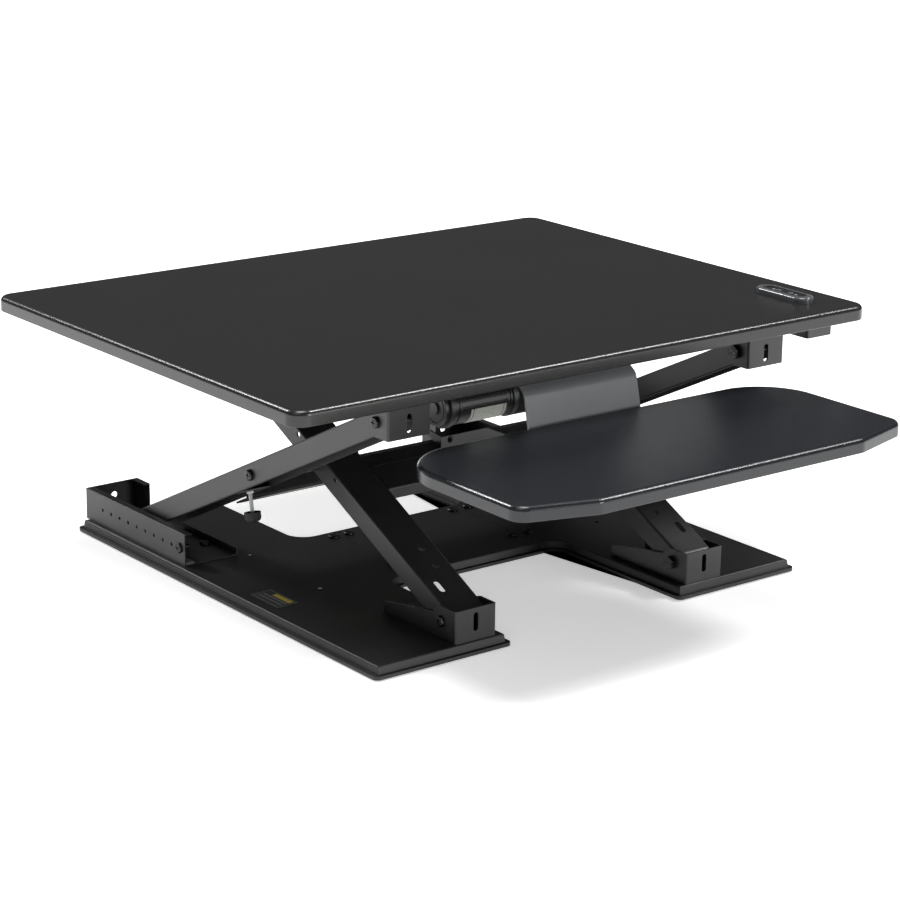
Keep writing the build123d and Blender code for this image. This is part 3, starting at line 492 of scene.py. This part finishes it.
# Both grooves are 3 mm wide, and the flutes stop 3 mm short of them.
left_groove, right_groove, groove_width = low.x + 0.012, high.x - 0.013, 0.003
flutes_from, flutes_to = low.x + 0.018, high.x - 0.019
for cut in (left_groove, left_groove + groove_width, flutes_from, flutes_to,
            right_groove - groove_width, right_groove):
    bpy.ops.mesh.select_all(action="SELECT")
    bpy.ops.mesh.bisect(plane_co=(cut, 0, 0), plane_no=(1, 0, 0))
grooves = (left_groove + groove_width / 2, right_groove - groove_width / 2)
pick(can, "FACE", lambda m, n: abs(n.x) < 0.1 and min(abs(m.x - g) for g in grooves) < 0.001)
bpy.ops.mesh.inset(thickness=0.0002, depth=-0.001)
flute = lambda m, n: (abs(n.x) < 0.1 and flutes_from < m.x < flutes_to and n.z > -0.1
                      and round((n.y * 0.5 + 2) * 72) % 3 == 0)
pick(can, "FACE", flute)
bpy.ops.mesh.inset(thickness=0.0004, depth=-0.0011, use_individual=True)
done(can, "platform", "motor_can", can_paint, "motor_body")

black_plastic, tree = blank_material("moulded_black_abs")
place = add(tree, "ShaderNodeTexCoord").outputs["Object"]
spark = add(tree, "ShaderNodeTexNoise", {"Vector": place, "Scale": 1 / 0.0009, "Detail": 2.0})
tone = add(tree, "ShaderNodeMix", {0: spark.outputs["Fac"], 6: linear("151515"), 7: linear("212121")},
           data_type="RGBA")
bump = add(tree, "ShaderNodeBump", {"Height": spark.outputs["Fac"], "Strength": 0.4,
           "Distance": 0.00006})
abs_skin = add(tree, "ShaderNodeBsdfPrincipled", {"Base Color": tone.outputs[2],
               "Roughness": 0.38, "IOR": 1.53, "Normal": bump.outputs["Normal"]})
add(tree, "ShaderNodeOutputMaterial", {"Surface": abs_skin.outputs["BSDF"]})
low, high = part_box("motor_end_cap")
cap = start("motor_end_bell", "cylinder", low + Vector((0.0025, 0, 0)), high,
            (0, radians(90), 0), vertices=64)
pick(cap, "FACE", lambda m, n: n.x < -0.9)
# From the rim inwards: a flat, a ring groove down and up again, a wide flat and the raised boss.
for width, rise in ((0.0035, 0), (0.0004, -0.0008), (0.0012, 0), (0.0004, 0.0008), (0.0088, 0),
                    (0.0003, 0.0025)):
    bpy.ops.mesh.inset(thickness=width, depth=rise)
soften(cap, 0.0005)
done(cap, "platform", "black_plastic", black_plastic, "motor_end_cap")
pressed("control_box", "power_box", "platform", black_plastic, 0.0008, 3)

label_paper, tree = blank_material("blank_paper_label")
place = add(tree, "ShaderNodeTexCoord").outputs["Object"]
low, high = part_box("motor_label")
rows = add(tree, "ShaderNodeSeparateXYZ", {"Vector": place})
fibre = add(tree, "ShaderNodeTexNoise", {"Vector": place, "Scale": 1 / 0.004, "Detail": 5.0})
smudge = add(tree, "ShaderNodeMix", {0: fibre.outputs["Fac"], 6: linear("8f9189"), 7: linear("b9bbb3")},
             data_type="RGBA")
edge_from = add(tree, "ShaderNodeMath", {0: rows.outputs["X"], 1: (low.x + high.x) / 2},
                operation="SUBTRACT")
from_middle = add(tree, "ShaderNodeMath", {0: edge_from.outputs["Value"]}, operation="ABSOLUTE")
band = add(tree, "ShaderNodeMath", {0: from_middle.outputs["Value"],
           1: (high.x - low.x) / 2 - 0.004, 2: 0.0006}, operation="COMPARE")
ruled = add(tree, "ShaderNodeMix", {0: band.outputs["Value"], 6: smudge.outputs[2],
            7: linear("4a4b4a")}, data_type="RGBA")
sheet = add(tree, "ShaderNodeBsdfPrincipled", {"Base Color": ruled.outputs[2],
            "Roughness": 0.5, "IOR": 1.47})
add(tree, "ShaderNodeOutputMaterial", {"Surface": sheet.outputs["BSDF"]})
dress(label_paper, "motor_label")

# ------------------------------------------------------------------------------------------------
# The drive: a die-cast gearbox turns a long steel screw with a rolled round thread, which draws a
# brass nut block along and closes the scissor.
# ------------------------------------------------------------------------------------------------
casting, tree = blank_material("sand_blasted_die_casting")
place = add(tree, "ShaderNodeTexCoord").outputs["Object"]
blast = add(tree, "ShaderNodeTexNoise", {"Vector": place, "Scale": 1 / 0.0012, "Detail": 4.0})
tone = add(tree, "ShaderNodeMix", {0: blast.outputs["Fac"], 6: linear("2a2b2c"), 7: linear("4c4d4f")},
           data_type="RGBA")
bump = add(tree, "ShaderNodeBump", {"Height": blast.outputs["Fac"], "Strength": 0.6,
           "Distance": 0.00012})
cast_skin = add(tree, "ShaderNodeBsdfPrincipled", {"Base Color": tone.outputs[2],
                "Metallic": 0.85, "Roughness": 0.55, "Normal": bump.outputs["Normal"]})
add(tree, "ShaderNodeOutputMaterial", {"Surface": cast_skin.outputs["BSDF"]})
pressed("gearbox", "gearbox_housing", "platform", casting, 0.0015, 3)

brass, tree = blank_material("turned_brass")
place = add(tree, "ShaderNodeTexCoord").outputs["Object"]
tarnish = add(tree, "ShaderNodeTexNoise", {"Vector": place, "Scale": 1 / 0.008, "Detail": 5.0})
tone = add(tree, "ShaderNodeMix", {0: tarnish.outputs["Fac"], 6: linear("8a6c34"), 7: linear("b9984f")},
           data_type="RGBA")
dull = add(tree, "ShaderNodeMapRange", {"Value": tarnish.outputs["Fac"], "To Min": 0.25,
           "To Max": 0.5})
metal = add(tree, "ShaderNodeBsdfPrincipled", {"Base Color": tone.outputs[2],
            "Metallic": 1.0, "Roughness": dull.outputs["Result"]})
add(tree, "ShaderNodeOutputMaterial", {"Surface": metal.outputs["BSDF"]})
pressed("drive_nut", "screw_nut_block", "drive_nut", brass, 0.0008, 3)

low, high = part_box("lead_screw")
gear_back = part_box("gearbox")[1].y
pitch, crest = 0.004, 0.007
root = crest - pitch / 3
turns = int((high.y - gear_back - 0.008) / pitch)
middle_x, middle_z = (low.x + high.x) / 2, (low.z + high.z) / 2
deselect()
bpy.ops.mesh.primitive_circle_add(vertices=4, radius=pitch / 2,
                                  location=(middle_x, gear_back + 0.008, middle_z))
thread = bpy.context.object
thread.name = "threaded_rod"
bpy.ops.object.mode_set(mode="EDIT")
pick(thread, "VERT", lambda p: p.x < -0.0001)
bpy.ops.mesh.delete(type="VERT")
bpy.ops.mesh.select_all(action="SELECT")
bpy.ops.transform.resize(value=(2 / 3, 1, 1))
bpy.ops.transform.translate(value=(root, 0, 0))
bpy.ops.object.mode_set(mode="OBJECT")
winding = thread.modifiers.new("winding", "SCREW")
winding.axis = "Y"
winding.screw_offset = pitch
winding.iterations = turns
winding.steps = winding.render_steps = 20
winding.use_merge_vertices = True
winding.merge_threshold = 0.00001
bpy.ops.object.modifier_apply(modifier="winding")
bpy.ops.object.transform_apply(location=True, rotation=True, scale=True)
bpy.ops.object.mode_set(mode="EDIT")
bpy.ops.mesh.select_all(action="SELECT")
bpy.ops.mesh.normals_make_consistent(inside=False)
done(thread, "lead_screw", "zinc_steel", zinc, "lead_screw")
core = start("screw_core", "cylinder", Vector((middle_x - root, low.y, middle_z - root)),
             Vector((middle_x + root, high.y, middle_z + root)), (radians(90), 0, 0), vertices=40)
pick(core, "FACE", lambda m, n: abs(n.y) > 0.9)
bpy.ops.mesh.bevel(offset=0.001, segments=2, affect="EDGES")
done(core, "lead_screw", "zinc_steel", zinc)
collar_low = Vector((low.x, gear_back + 0.001, low.z))
collar = start("screw_collar", "cylinder", collar_low, Vector((high.x, gear_back + 0.006, high.z)),
               (radians(90), 0, 0), vertices=48)
pick(collar, "FACE", lambda m, n: n.y > 0.9)
bpy.ops.mesh.inset(thickness=0.002)
bpy.ops.mesh.inset(thickness=0.0003, depth=-0.0008)
soften(collar, 0.0004)
done(collar, "lead_screw", "zinc_steel", zinc)

# ------------------------------------------------------------------------------------------------
# The controls: a glossy black rim stuck on the desktop, a sunk dark fascia with two plain arrow
# marks, and two round push buttons with dished tops.
# ------------------------------------------------------------------------------------------------
gloss, tree = blank_material("polished_black_abs")
place = add(tree, "ShaderNodeTexCoord").outputs["Object"]
ripple = add(tree, "ShaderNodeTexNoise", {"Vector": place, "Scale": 1 / 0.005, "Detail": 2.0})
tone = add(tree, "ShaderNodeMix", {0: ripple.outputs["Fac"], 6: linear("46484b"), 7: linear("54565a")},
           data_type="RGBA")
bump = add(tree, "ShaderNodeBump", {"Height": ripple.outputs["Fac"], "Strength": 0.12,
           "Distance": 0.0001})
shell = add(tree, "ShaderNodeBsdfPrincipled", {"Base Color": tone.outputs[2],
            "Roughness": 0.16, "IOR": 1.53, "Normal": bump.outputs["Normal"]})
add(tree, "ShaderNodeOutputMaterial", {"Surface": shell.outputs["BSDF"]})
pressed("control_pad", "control_rim", "platform", gloss, 0.0006, 3)
pressed("control_panel", "control_fascia", "platform", black_plastic, 0.0003)

mark_paint, tree = blank_material("pad_printed_grey_ink")
place = add(tree, "ShaderNodeTexCoord").outputs["Object"]
ink = add(tree, "ShaderNodeTexNoise", {"Vector": place, "Scale": 1 / 0.0005, "Detail": 2.0})
tone = add(tree, "ShaderNodeMix", {0: ink.outputs["Fac"], 6: linear("8d9092"), 7: linear("b4b7b9")},
           data_type="RGBA")
print_skin = add(tree, "ShaderNodeBsdfPrincipled", {"Base Color": tone.outputs[2],
                 "Roughness": 0.45, "IOR": 1.49})
add(tree, "ShaderNodeOutputMaterial", {"Surface": print_skin.outputs["BSDF"]})
fascia_low, fascia_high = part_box("control_panel")
middle_x = (fascia_low.x + fascia_high.x) / 2
for name, way in (("down", -1), ("up", 1)):
    low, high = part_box("button_" + name)
    middle_y = (low.y + high.y) / 2 + way * 0.010
    size, rise = 0.0022, 0.00025
    arrow = start("arrow_mark_" + name, "cylinder",
                  Vector((middle_x - size, middle_y - size, fascia_high.z - 0.0002)),
                  Vector((middle_x + size, middle_y + size, fascia_high.z + rise)),
                  (0, 0, 0 if way > 0 else radians(180)), vertices=3)
    pick(arrow, "FACE", lambda m, n: n.z > 0.9)
    bpy.ops.mesh.inset(thickness=0.0003, depth=0.0001)
    done(arrow, "platform", "button_plastic", mark_paint)

    button = start("push_button_" + name, "cylinder", low, high, vertices=64)
    pick(button, "FACE", lambda m, n: n.z > 0.9)
    bpy.ops.mesh.bevel(offset=0.0007, segments=3, affect="EDGES")
    pick(button, "FACE", lambda m, n: n.z > 0.99)
    bpy.ops.mesh.inset(thickness=0.0004)
    for step in range(4):
        bpy.ops.mesh.inset(thickness=0.0007, depth=-0.00012)
    done(button, "button_" + name, "button_plastic", gloss, "button_" + name)

# ------------------------------------------------------------------------------------------------
# A plain printed notice stuck on the base's left leg: a black vinyl patch with a thin pale border,
# a yellow corner block and a few pale rules, printed without any words or signs.
# ------------------------------------------------------------------------------------------------
notice, tree = blank_material("screen_printed_vinyl_notice")
place = add(tree, "ShaderNodeTexCoord").outputs["Object"]
low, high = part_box("base_label")
size = high - low
along = add(tree, "ShaderNodeMapping", {"Vector": place, "Location": [-c for c in low]})
spot = add(tree, "ShaderNodeSeparateXYZ", {"Vector": along.outputs["Vector"]})


def inside(tree, socket, middle, half):
    """1 where a coordinate is within half of middle, and 0 elsewhere."""
    return add(tree, "ShaderNodeMath", {0: socket, 1: middle, 2: half},
               operation="COMPARE").outputs["Value"]


def both(tree, first, second):
    return add(tree, "ShaderNodeMath", {0: first, 1: second}, operation="MULTIPLY").outputs["Value"]


x_at, y_at = spot.outputs["X"], spot.outputs["Y"]
wide = both(tree, inside(tree, x_at, size.x / 2, size.x / 2 - 0.0012),
            inside(tree, y_at, size.y / 2, size.y / 2 - 0.0012))
narrow = both(tree, inside(tree, x_at, size.x / 2, size.x / 2 - 0.0020),
              inside(tree, y_at, size.y / 2, size.y / 2 - 0.0020))
border = add(tree, "ShaderNodeMath", {0: wide, 1: narrow}, operation="SUBTRACT").outputs["Value"]
lines = add(tree, "ShaderNodeTexWave", {"Vector": along.outputs["Vector"], "Scale": 1 / 0.022},
            bands_direction="X")
ruled = add(tree, "ShaderNodeMath", {0: lines.outputs["Fac"], 1: 0.72},
            operation="GREATER_THAN").outputs["Value"]
ruled = both(tree, ruled, both(tree, inside(tree, x_at, size.x * 0.36, size.x * 0.24),
                               inside(tree, y_at, size.y * 0.5, size.y * 0.40)))
block = both(tree, inside(tree, x_at, size.x * 0.77, size.x * 0.12),
             inside(tree, y_at, size.y * 0.40, size.y * 0.30))
vinyl = add(tree, "ShaderNodeTexNoise", {"Vector": place, "Scale": 1 / 0.002, "Detail": 3.0})
ground = add(tree, "ShaderNodeMix", {0: vinyl.outputs["Fac"], 6: linear("0d0d0d"), 7: linear("191919")},
             data_type="RGBA")
for mask, colour in ((border, "8d8f88"), (ruled, "77797a"), (block, "b9a53c")):
    ground = add(tree, "ShaderNodeMix", {0: mask, 6: ground.outputs[2], 7: linear(colour)},
                 data_type="RGBA")
print_skin = add(tree, "ShaderNodeBsdfPrincipled", {"Base Color": ground.outputs[2],
                 "Roughness": 0.35, "IOR": 1.52})
add(tree, "ShaderNodeOutputMaterial", {"Surface": print_skin.outputs["BSDF"]})
dress(notice, "base_label")
